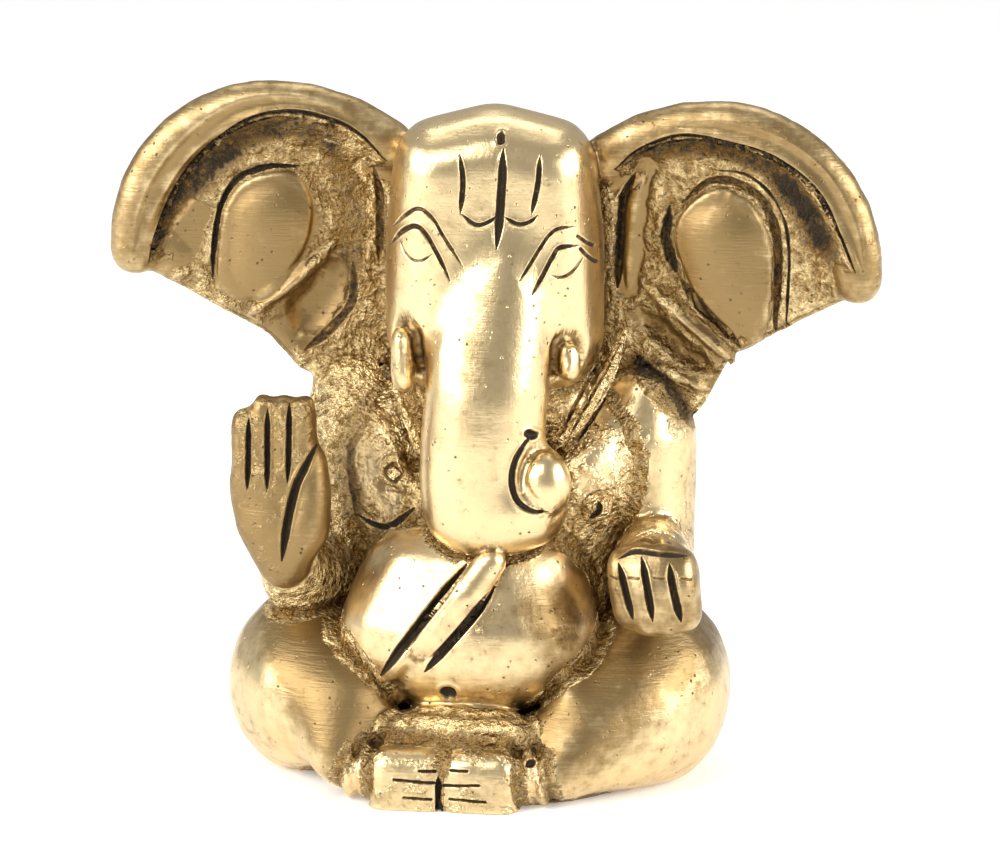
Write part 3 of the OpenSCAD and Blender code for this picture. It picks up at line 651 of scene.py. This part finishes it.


# The skin of the casting: how rough each member was left, from 0 for polished to 1 for as cast,
# the places that the polishing wheel and the brush missed, and the painted shade in the big
# hollows and on the legs' inner sides.
finish = {
    "rough": {
        "torso": 0.8, "lap": 1.0, "belly": 0.1, "neck_scarf": 0.62, "right_chest_ring": 0.55,
        "left_chest_ring": 0.6, "right_ear": 0.5, "left_ear": 0.55, "right_ear_rim": 0.1,
        "left_ear_rim": 0.1, "right_ear_lobe": 0.1, "left_ear_lobe": 0.1, "head": 0.05,
        "head_cap": 0.25, "trunk": 0.02, "right_tusk": 0.15, "left_tusk": 0.15, "trunk_tip": 0.02,
        "right_upper_arm": 0.75, "left_upper_arm": 0.22, "right_forearm": 0.7, "left_forearm": 0.4,
        "right_palm": 0.22, "right_thumb": 0.08, "right_fingers": 0.3, "left_fist": 0.2,
        "left_fingers": 0.1, "right_leg": 0.12, "left_leg": 0.12, "right_anklet": 0.3,
        "left_anklet": 0.3, "right_foot": 0.25, "left_foot": 0.25, "sash": 0.03,
    },
    "grain": 1.1, "grainDepth": 0.3,  # mm, the lumps of the as-cast metal
    # (member, radius, how rough, how dark, points)
    "patches": [
        ("right_ear", 1.4, 0.8, 0.62, darkBand["right_ear"]),
        ("right_ear", 1.5, 0.9, 0.45, [(6.5, 5.8), (7.5, 2.9), (7.6, -0.6), (7.3, -4.0)]),
        ("right_ear", 1.0, 0.9, 0.3, [(-4.6, 0.5), (-4.2, 3.6), (-2.0, 6.2)]),
        ("right_ear", 1.9, 0.0, -0.2, [(6.0, -3.4), (4.6, -5.8), (2.6, -8.4)]),
        ("right_ear", 1.5, 0.0, -0.5, [(-5.2, 1.4), (-6.7, -1.6)]),
        ("right_ear", 0.7, 0.4, -0.6, [(4.7, -2.4), (3.3, -3.6), (0.9, -5.4), (-1.2, -7.2)]),
        ("left_ear", 1.1, 0.8, 0.62, darkBand["left_ear"]),
        ("left_ear", 1.2, 0.7, 0.45, [(4.0, 6.2), (5.6, 4.4), (6.6, 2.4)]),
        ("left_ear", 1.0, 0.8, 0.35, [(-5.4, 4.6), (-5.7, 1.8), (-4.9, -0.9)]),
        ("left_ear", 0.9, 0.0, -0.8, [(-7.3, 8.1), (-8.2, 5.0), (-8.6, 0.8), (-8.9, -2.6)]),
        ("left_ear", 0.9, 0.2, -0.8, [(-3.9, -5.0), (-1.6, -6.9), (0.6, -8.8)]),
        ("left_ear", 1.0, 0.3, 0.2, [(-7.7, -4.7), (-4.6, -7.3), (-1.6, -9.6)]),
        ("left_ear", 0.7, 0.2, -0.8, [(-4.2, -10.0), (-2.0, -10.9)]),
        ("left_ear", 0.9, 0.9, 0.4, [(-8.1, -8.4), (-5.9, -10.9), (-4.0, -12.9)]),
        ("belly", 0.7, 0.2, 0.5, [(8.3, -0.2), (9.0, -1.2)]),
        ("torso", 2.4, 0.9, 0.5, [(-14.0, 6.5), (-13.0, 4.0), (-12.5, 1.0)]),
        ("torso", 1.4, 1.0, 0.3, [(-6.0, 0.0), (-3.0, -1.5)]),
        ("torso", 2.6, 0.3, -0.4, [(8.5, 10.0), (10.3, 7.6), (9.2, 4.0)]),
        ("torso", 1.3, 0.4, -0.4, [(-9.6, 12.0), (-8.2, 9.6), (-8.6, 7.0)]),
        ("torso", 1.2, 0.3, -0.3, [(-9.4, 5.0), (-8.0, 2.6)]),
    ],
    # members that a patch runs over on to, apart from its own
    "patchOn": {
        "right_ear": ["right_ear", "right_upper_arm", "torso"], "left_ear": ["left_ear", "left_upper_arm"],
    },
    # places painted darker and duller, with painted shade and dark reflection on the legs' inner sides:
    # (member, radius, how much, points)
    "rubbed": [
        ("right_leg", 3.6, 1.2, [(-2.6, 6.4), (-0.4, 3.2), (1.8, 0.6), (3.8, -2.4)]),
        ("left_leg", 3.2, 0.7, [(6.8, 5.1), (3.4, 2.4), (0.4, -0.6), (-3.6, -3.0)]),
        ("left_leg", 2.0, 0.5, [(3.0, 6.4), (-1.0, 3.6), (-4.4, 0.6)]),
        ("trunk", 1.6, 0.35, [(-1.4, 7.0), (-1.2, 2.0), (-1.6, -3.0)]),
        ("head", 1.8, 0.3, [(1.2, -2.0), (1.0, -7.0)]),
        ("belly", 2.0, 0.6, [(6.5, 2.0), (8.6, -1.0), (8.8, -4.0)]),
    ],
    # crumbly metal left where members meet: members, reach in rounds, how rough, how dark
    "crust": [
        ({"belly", "lap", "right_leg", "left_leg"}, 8, 1.0, 0.05),
        ({
            "lap", "right_foot", "left_foot", "right_anklet", "left_anklet", "right_leg", "left_leg",
        }, 4, 0.8, 0.35),
        ({"left_fist", "left_leg", "left_upper_arm", "torso", "belly"}, 7, 1.0, 0.3),
        ({"right_forearm", "right_leg", "torso", "right_upper_arm"}, 7, 0.9, 0.25),
        ({"trunk", "torso", "belly"}, 4, 0.7, 0.3),
        ({"head", "right_ear"}, 5, 0.6, 0.25), ({"head", "left_ear"}, 5, 0.6, 0.25),
        ({"left_ear", "left_upper_arm", "neck_scarf"}, 6, 0.9, 0.4),
    ],
    # how dark the creases and the hollows go: patina in the small hollows, painted shade in the big ones
    "creaseDirt": 0.38, "hollowDirt": 0.7,
    "roughBlur": 30, "dullBlur": 40,  # rounds that the members' values run into each other
    "fineRounds": 12, "wideRounds": 120,  # rounds of smoothing that show up small and big hollows
    # how dull the polished members are, from 0 for wheel bright to 1 for brown, with the painted shade
    # of the darker strokes added later
    "dull": {
        "right_ear_lobe": 0.9, "left_ear_lobe": 0.9, "right_ear_rim": 0.72, "left_ear_rim": 0.7,
        "right_palm": 1.0, "right_thumb": 1.0, "right_fingers": 1.0, "left_fist": 0.6, "left_fingers": 0.6,
        "right_leg": 0.15, "left_leg": 0.1, "right_foot": 0.3, "left_foot": 0.3, "head_cap": 0.5,
        "right_tusk": 0.3, "left_tusk": 0.3, "belly": 0.15, "sash": 0.2, "left_upper_arm": 0.2,
        "right_ear": 1.1, "left_ear": 1.0, "torso": 0.2,
    },
}


def hollows(obj, points, normals, rounds):
    # mm that each point lies below the same skin rubbed smooth, positive in a hollow
    only(obj)
    bpy.ops.object.duplicate()
    rubbed = bpy.context.active_object
    applied(rubbed, "SMOOTH", factor=0.5, iterations=rounds)
    depth = ((pointsOf(rubbed) - points) * normals).sum(1)
    bpy.data.objects.remove(rubbed)
    return depth


def averaged(values, pairs, rounds):
    count = np.bincount(pairs.ravel(), minlength=len(values))
    for turn in range(rounds):
        total = np.bincount(pairs[:, 0], values[pairs[:, 1]], len(values))
        total += np.bincount(pairs[:, 1], values[pairs[:, 0]], len(values))
        values = 0.5 * values + 0.5 * total / count
    return values


def brushed(flat, curve, radius):
    # 1 under a stroke of the brush, 0 beyond its soft edge
    return 1 - ease(nearCurve(flat, curve)[0], 0.3 * radius, 1.5 * radius)


def finished(obj, own, pairs, crease, petal, cutDirt):
    points = pointsOf(obj)
    normals = normalsOf(obj)
    flat = points[:, [0, 2]]
    front = normals[:, 1] < 0.3
    rough = np.array([finish["rough"][name] for name in names])[own]
    rough = averaged(rough, pairs, finish["roughBlur"])
    dirt = finish["creaseDirt"] * ease(crease, 0.4, 1)
    for family, reach, roughness, darkness in finish["crust"]:
        near = ease(meeting(pairs, own, family, reach), 0.35, 0.8)
        rough = np.maximum(rough, roughness * near)
        dirt = np.maximum(dirt, darkness * near)
    dull = np.array([finish["dull"].get(name, 0) for name in names])[own]
    dull = averaged(dull, pairs, finish["dullBlur"])
    for node, radius, roughness, darkness, stops in finish["patches"]:
        curve = curveThrough(stops) + centreOf(node)[[0, 2]]
        ids = [index[name] for name in finish["patchOn"].get(node, [node])]
        pick = reached(flat, front, own, ids, curve, 2 * radius)
        mark = brushed(flat[pick], curve, radius)
        rough[pick] += (roughness - rough[pick]) * mark
        dirt[pick] = np.clip(dirt[pick] + darkness * mark, 0, 1)
    # the darker strokes: painted shade and dark reflection on the legs' inner sides
    for node, radius, amount, stops in finish["rubbed"]:
        curve = curveThrough(stops) + centreOf(node)[[0, 2]]
        pick = reached(flat, front, own, [index[node]], curve, 2 * radius)
        dull[pick] += amount * brushed(flat[pick], curve, radius)
    rough *= 1 - 0.9 * petal
    dirt *= 1 - petal
    # the small hollows hold patina; the darkening added in the big hollows is painted shade
    fine = hollows(obj, points, normals, finish["fineRounds"])
    shadeHollowDepth = hollows(obj, points, normals, finish["wideRounds"])
    pits = ease(fine, 0.02, 0.12) * 0.5 + ease(shadeHollowDepth, 0.12, 0.7) * 0.55
    dirt = np.clip(np.maximum(dirt, cutDirt) + finish["hollowDirt"] * pits * (0.35 + 0.65 * rough), 0, 1)
    paint(obj, "rough", np.clip(rough, 0, 1))
    paint(obj, "dirt", dirt)
    # crest is high on the ridges and low in the hollows; its lowering in the big hollows paints shade
    paint(obj, "crest", np.clip(0.5 - shadeHollowDepth * 0.9 - fine * 3, 0, 1))
    paint(obj, "dull", np.clip(dull * (1 - petal) + petal * 0.95, 0, 1.2))
    return rough


rough = finished(skin, own, pairs, crease, petal, cutDirt)
level = pointsOf(skin)[:, 2] < wax["footing"]
clouds = bpy.data.textures.new("cast_grain", "CLOUDS")
clouds.noise_scale = finish["grain"]
clouds.noise_depth = 2
group(skin, "grain", np.clip(rough, 0, 1) ** 1.5 * ~level)
applied(
    skin, "DISPLACE", texture=clouds, texture_coords="LOCAL", mid_level=0.5,
    strength=finish["grainDepth"] * 2, vertex_group="grain",
)
points = pointsOf(skin)
points[:, 2] = np.maximum(points[:, 2], 0)  # nothing stands lower than the base
movePoints(skin, points)
only(skin)
bpy.ops.object.shade_smooth()
print("finish painted")


# Shader maths in plain expressions: a Wire is one socket of a shader.
class Wire:
    def __init__(self, tree, socket):
        self.tree = tree
        self.socket = socket

    def math(self, operation, *values):
        return addNode(self.tree, "Math", {"operation": operation}, 0, dict(enumerate(values)))

    def __add__(self, other):
        return self.math("ADD", self, other)

    def __radd__(self, other):
        return self.math("ADD", other, self)

    def __sub__(self, other):
        return self.math("SUBTRACT", self, other)

    def __rsub__(self, other):
        return self.math("SUBTRACT", other, self)

    def __mul__(self, other):
        return self.math("MULTIPLY", self, other)

    def __rmul__(self, other):
        return self.math("MULTIPLY", other, self)

    def step(self, low, high):
        # 0 below low, 1 above high, eased between them
        sockets = {"Value": self, "From Min": low, "From Max": high}
        return addNode(self.tree, "MapRange", {"interpolation_type": "SMOOTHSTEP"}, "Result", sockets)


def plug(tree, socket, value):
    if isinstance(value, Wire):
        tree.links.new(value.socket, socket)
    else:
        socket.default_value = value


def addNode(tree, kind, settings, output, sockets):
    # every node is made here: its type, its settings, the output used, and what its sockets get
    made = tree.nodes.new("ShaderNode" + kind)
    for key, value in settings.items():
        setattr(made, key, value)
    for key, value in sockets.items():
        plug(tree, made.inputs[key], value)
    return Wire(tree, made.outputs[output])


class Finish:
    def __init__(self, owner, surface="Principled BSDF"):
        self.owner = owner
        owner.use_nodes = True
        self.tree = owner.node_tree
        self.surface = self.tree.nodes[surface]

    def node(self, kind, settings, output, **sockets):
        return addNode(self.tree, kind, settings, output, sockets)

    def painted(self, name):
        return self.node("Attribute", {"attribute_name": name}, "Fac")

    def noise(self, place, scale, detail, roughness=0.55):
        sockets = {"Vector": place, "Scale": scale, "Detail": detail, "Roughness": roughness}
        return self.node("TexNoise", {}, "Fac", **sockets)

    def mix(self, low, high, amount):
        # the colour sockets of a Mix node are its 7th and 8th, and the colour its 3rd output
        return addNode(self.tree, "Mix", {"data_type": "RGBA"}, 2, {0: amount, 6: low, 7: high})

    def set(self, name, value):
        plug(self.tree, self.surface.inputs[name], value)


brassLook = {
    # deep also serves as painted shade in the hollows and under the darker strokes, burnt as painted shade in
    # the hollows
    "pale": (0.83, 0.64, 0.35, 1), "deep": (0.31, 0.208, 0.088, 1),  # polished, bright and dull
    "bright": (1.0, 0.79, 0.42, 1), "burnt": (0.30, 0.175, 0.05, 1),  # as cast, crumbs and hollows
    # brown and near black, for patina, pits and the painted shade in the hollows
    "umber": (0.2, 0.115, 0.038, 1), "dirt": (0.05, 0.034, 0.018, 1),
    "sheen": 0.23, "satin": 0.12,
    "grit": 5.0, "crumbs": 1.7, "blotches": 0.7, "clouds": 0.2, "pits": 1.1,  # features per mm
    "fileMarks": (4.5, 4.5, 0.35), "scratches": (0.3, 1, 5.5), "scratchTilt": 0.35,
    # where each layer begins and where it is full
    "asCast": (0.24, 0.82), "brown": (0.16, 0.5), "black": (0.5, 0.95), "lumps": (0.4, 0.6),
    "tarnish": (0.3, 1.05), "pitEdge": (0.05, 0.17), "pitted": (0.6, 0.78),
    "reliefDepth": 0.00022,  # metres
}


def makeBrass(look):
    brass = Finish(bpy.data.materials.new("cast_brass"))
    place = brass.node("TexCoord", {}, "Object")
    inMm = brass.node("VectorMath", {"operation": "SCALE"}, "Vector", Vector=place, Scale=mm)
    lengthways = brass.node("Mapping", {}, "Vector", Vector=inMm, Scale=look["fileMarks"])
    tilt = (0, look["scratchTilt"], 0)
    aslant = brass.node("Mapping", {}, "Vector", Vector=inMm, Rotation=tilt, Scale=look["scratches"])
    rough = brass.painted("rough")
    patinaAndShadeHere = brass.painted("dirt")
    crest = brass.painted("crest")
    dull = brass.painted("dull")
    clouds = brass.noise(inMm, look["clouds"], 2)
    blotch = brass.noise(inMm, look["blotches"], 4)
    grit = brass.noise(inMm, look["grit"], 3)
    crumbs = brass.noise(inMm, look["crumbs"], 3, 0.65)
    files = brass.noise(lengthways, 1, 2)
    scratches = brass.noise(aslant, 1.1, 2)
    cell = brass.node("TexVoronoi", {}, "Distance", Vector=inMm, Scale=look["pits"])

    asCast = (rough + (blotch - 0.5) * 0.9).step(*look["asCast"])
    # patina, with painted shade in the big hollows, broken up by noise
    patinaAndShadeLevel = patinaAndShadeHere * 1.1 + (blotch - 0.5) * 0.7 + (crumbs - 0.5) * 1.3
    brown = patinaAndShadeLevel.step(*look["brown"])
    black = patinaAndShadeLevel.step(*look["black"])
    pit = (1 - cell.step(*look["pitEdge"])) * (clouds + crumbs * 0.4).step(*look["pitted"])

    # the as-cast colour goes burnt where the crest is low, which in the big hollows is painted shade
    lumps = crumbs * 0.55 + blotch * 0.35 + grit * 0.1 + (crest - 0.5) * 0.35
    # tarnish from noise and dullness, with painted shade from the darker strokes and, through crest, the
    # hollows
    tarnish = blotch * 0.9 - 0.25 + (crumbs - 0.5) * 0.3 + clouds * 0.4 + dull * 0.8
    tarnish = tarnish + (scratches - 0.5) * dull * 0.4 + (0.5 - crest) * 0.9
    polished = brass.mix(look["pale"], look["deep"], tarnish.step(*look["tarnish"]))
    casting = brass.mix(look["burnt"], look["bright"], lumps.step(*look["lumps"]))
    metal = brass.mix(brass.mix(polished, casting, asCast), look["umber"], brown * 0.8)
    brass.set("Base Color", brass.mix(metal, look["dirt"], black + pit * 0.8))
    brass.set("Metallic", 1 - (black + pit * 0.6) * 0.4)
    gloss = look["sheen"] + blotch * look["satin"] + dull * 0.15 - asCast * 0.04
    brass.set("Roughness", gloss + black * 0.3 + brown * 0.06)

    scored = (files * 0.05 + scratches * (dull * 0.12 + 0.04)) * (1 - asCast)
    grain = asCast * (crumbs * 3.4 + blotch * 2.6 + grit * 0.5)
    relief = grain + scored + grit * 0.04 + blotch * 0.2 - pit * 0.3
    bump = brass.node("Bump", {}, "Normal", Height=relief, Distance=look["reliefDepth"], Strength=1.0)
    brass.set("Normal", bump)
    return brass.owner


# The stage: white paper, a long lens, and soft boxes at both sides, in front and above.
stage = {
    "lens": 300, "width": 0.0833, "aim": (0.00035, 0.0013, 0.02856), "azimuth": 9, "elevation": 13,
    "sensor": 36, "floor": 6, "boxAim": (0, 0, 0.03),
    "paperLow": (0.9, 0.9, 0.895, 1), "paperHigh": (0.93, 0.93, 0.925, 1), "paperGrain": 900,
    "paperGlow": 0.25,
    # brightness of the room and of its camera side, that side's height, and how it fades in
    "around": 0.45, "front": 0.35, "frontElevation": 20, "frontFade": (0.45, 0.92),
    # name: (azimuth from the camera, elevation, distance, width, height, brightness)
    "boxes": {
        "left_box": (-66, 24, 0.45, 0.4, 0.26, 6.0),
        "right_box": (70, 22, 0.45, 0.4, 0.26, 5.6),
        "front_box": (-30, 42, 0.5, 0.16, 0.16, 6.0),
        "top_box": (180, 68, 0.5, 0.4, 0.25, 2.0),
    },
}


def makePaper():
    paper = Finish(bpy.data.materials.new("white_paper"))
    place = paper.node("TexCoord", {}, "Object")
    grain = paper.noise(place, stage["paperGrain"], 2)
    paper.set("Base Color", paper.mix(stage["paperLow"], stage["paperHigh"], grain))
    paper.set("Roughness", 0.75)
    paper.set("Emission Color", (1, 1, 1, 1))
    paper.set("Emission Strength", stage["paperGlow"])
    paper.set("Specular IOR Level", 0.15)
    return paper.owner


brass = makeBrass(brassLook)
paper = makePaper()


# Parting. Thin and bent members get a wall of their own, the rest are closed across the join.
parting = {
    "inset": 0.5,  # mm the join's wall goes in before it is closed
    "votes": 6,  # rounds of voting that straighten the joins
    "walled": {
        "right_ear_rim": 0.5, "left_ear_rim": 0.5, "right_ear": 0.4, "left_ear": 0.4,
        "neck_scarf": 0.4, "torso": 0.6,
    },
}


def ownersOfFaces(obj, own, rounds):
    # each face goes to the member that most of its neighbours belong to, so that the joins run smooth
    loops = readNumbers(obj.data.loops, "vertex_index").astype(int)
    count = readNumbers(obj.data.polygons, "loop_total").astype(int)
    face = np.repeat(np.arange(len(count)), count)
    starts = readNumbers(obj.data.polygons, "loop_start").astype(int)
    owner = own[loops[starts]]
    for turn in range(rounds):
        votes = np.zeros((len(own), len(names)), np.float32)
        np.add.at(votes, (loops, owner[face]), 1)
        total = np.zeros((len(count), len(names)), np.float32)
        np.add.at(total, face, votes[loops])
        owner = total.argmax(1)
    return owner


def parted(obj, owner):
    obj.data.materials.clear()
    for name in names:
        obj.data.materials.append(bpy.data.materials.new("part_" + name))
    obj.data.polygons.foreach_set("material_index", owner.astype(np.int32))
    only(obj)
    bpy.ops.object.mode_set(mode="EDIT")
    bpy.ops.mesh.select_all(action="SELECT")
    bpy.ops.mesh.separate(type="MATERIAL")
    bpy.ops.object.mode_set(mode="OBJECT")
    found = {}
    for part in list(bpy.context.selected_objects):
        name = part.data.materials[part.data.polygons[0].material_index].name.replace("part_", "")
        part.name = name + "_metal"
        found[name] = part
    return found


def closedJoin(part):
    # the open edge goes straight in, and is closed below the surface
    only(part)
    before = len(part.data.vertices)
    bpy.ops.object.mode_set(mode="EDIT")
    bpy.ops.mesh.select_mode(type="EDGE")
    bpy.ops.mesh.select_all(action="DESELECT")
    bpy.ops.mesh.select_non_manifold(
        extend=False, use_wire=False, use_multi_face=False, use_non_contiguous=False, use_verts=False,
    )
    bpy.ops.mesh.extrude_edges_indiv()
    bpy.ops.object.mode_set(mode="OBJECT")
    points = pointsOf(part)
    points[before:] -= painted(part, "skinNormal", 3)[before:] * parting["inset"]
    points[before:, 2] = np.maximum(points[before:, 2], 0)
    movePoints(part, points)
    bpy.ops.object.mode_set(mode="EDIT")
    bpy.ops.mesh.fill_holes(sides=0)
    bpy.ops.mesh.select_mode(type="FACE")
    bpy.ops.object.mode_set(mode="OBJECT")
    big = readNumbers(part.data.polygons, "loop_total") > 4
    part.data.polygons.foreach_set("select", big)
    bpy.ops.object.mode_set(mode="EDIT")
    bpy.ops.mesh.poke()
    bpy.ops.object.mode_set(mode="OBJECT")


def keepNormals(part, outside):
    # the outside keeps the whole casting's normals, so that the joins don't show
    mesh = part.data
    corner = readNumbers(mesh.loops, "vertex_index").astype(int)
    count = readNumbers(mesh.polygons, "loop_total").astype(int)
    shown = np.repeat(np.arange(len(mesh.polygons)) < outside, count)
    stored = painted(part, "skinNormal", 3)[corner]
    flat = np.repeat(readNumbers(mesh.polygons, "normal", 3), count, 0)
    normals = np.where(shown[:, None], stored, flat)
    normals /= np.maximum(np.linalg.norm(normals, axis=1), 1e-9)[:, None]
    mesh.normals_split_custom_set(normals.tolist())


paint(skin, "skinNormal", normalsOf(skin), "FLOAT_VECTOR")
own = ownersOf(pointsOf(skin), tree, faceOwner)
parts = parted(skin, ownersOfFaces(skin, own, parting["votes"]))
total = 0
for name, part in sorted(parts.items()):
    outside = len(part.data.polygons)
    if name in parting["walled"]:
        applied(part, "SOLIDIFY", thickness=parting["walled"][name], offset=-1)
    else:
        closedJoin(part)
    part.data.transform(Matrix.Scale(1 / mm, 4))
    keepNormals(part, outside)
    part.data.materials.clear()
    part.data.materials.append(brass)
    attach(part, "root")
    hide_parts(name)
    total += len(part.data.polygons)
print("pieces:", len(parts), "faces:", total)


def towards(azimuth, elevation):
    turn = math.radians(azimuth)
    rise = math.radians(elevation)
    return Vector((math.sin(turn) * math.cos(rise), -math.cos(turn) * math.cos(rise), math.sin(rise)))


def makeFloor():
    bpy.ops.mesh.primitive_plane_add(size=stage["floor"])
    floor = bpy.context.active_object
    floor.name = "floor"
    floor.data.materials.append(paper)


def makeCamera():
    away = stage["width"] / stage["sensor"] * stage["lens"]
    aim = Vector(stage["aim"])
    spot = aim + away * towards(stage["azimuth"], stage["elevation"])
    bpy.ops.object.camera_add(location=spot)
    camera = bpy.context.active_object
    camera.rotation_euler = (aim - spot).to_track_quat("-Z", "Y").to_euler()
    camera.data.lens = stage["lens"]
    camera.data.clip_start = 0.05
    bpy.context.scene.camera = camera


def makeBox(name, azimuth, elevation, away, width, height, brightness):
    middle = Vector(stage["boxAim"])
    place = middle + away * towards(stage["azimuth"] + azimuth, elevation)
    bpy.ops.object.light_add(type="AREA", location=place)
    lamp = bpy.context.active_object
    lamp.name = name
    lamp.rotation_euler = (middle - place).to_track_quat("-Z", "Y").to_euler()
    lamp.data.shape = "RECTANGLE"
    lamp.data.size = width
    lamp.data.size_y = height
    lamp.data.energy = brightness * math.pi * width * height


def makeRoom():
    room = Finish(bpy.data.worlds.new("studio"), "Background")
    bpy.context.scene.world = room.owner
    place = room.node("TexCoord", {}, "Generated")
    front = towards(stage["azimuth"], stage["frontElevation"])
    facing = addNode(room.tree, "VectorMath", {"operation": "DOT_PRODUCT"}, "Value", {0: place, 1: front})
    dim = facing.step(*stage["frontFade"])
    room.set("Strength", stage["around"] + dim * (stage["front"] - stage["around"]))
    room.set("Color", (1, 1, 1, 1))


makeFloor()
makeCamera()
makeRoom()
for name, setting in stage["boxes"].items():
    makeBox(name, *setting)
bpy.context.scene.view_settings.view_transform = "Standard"
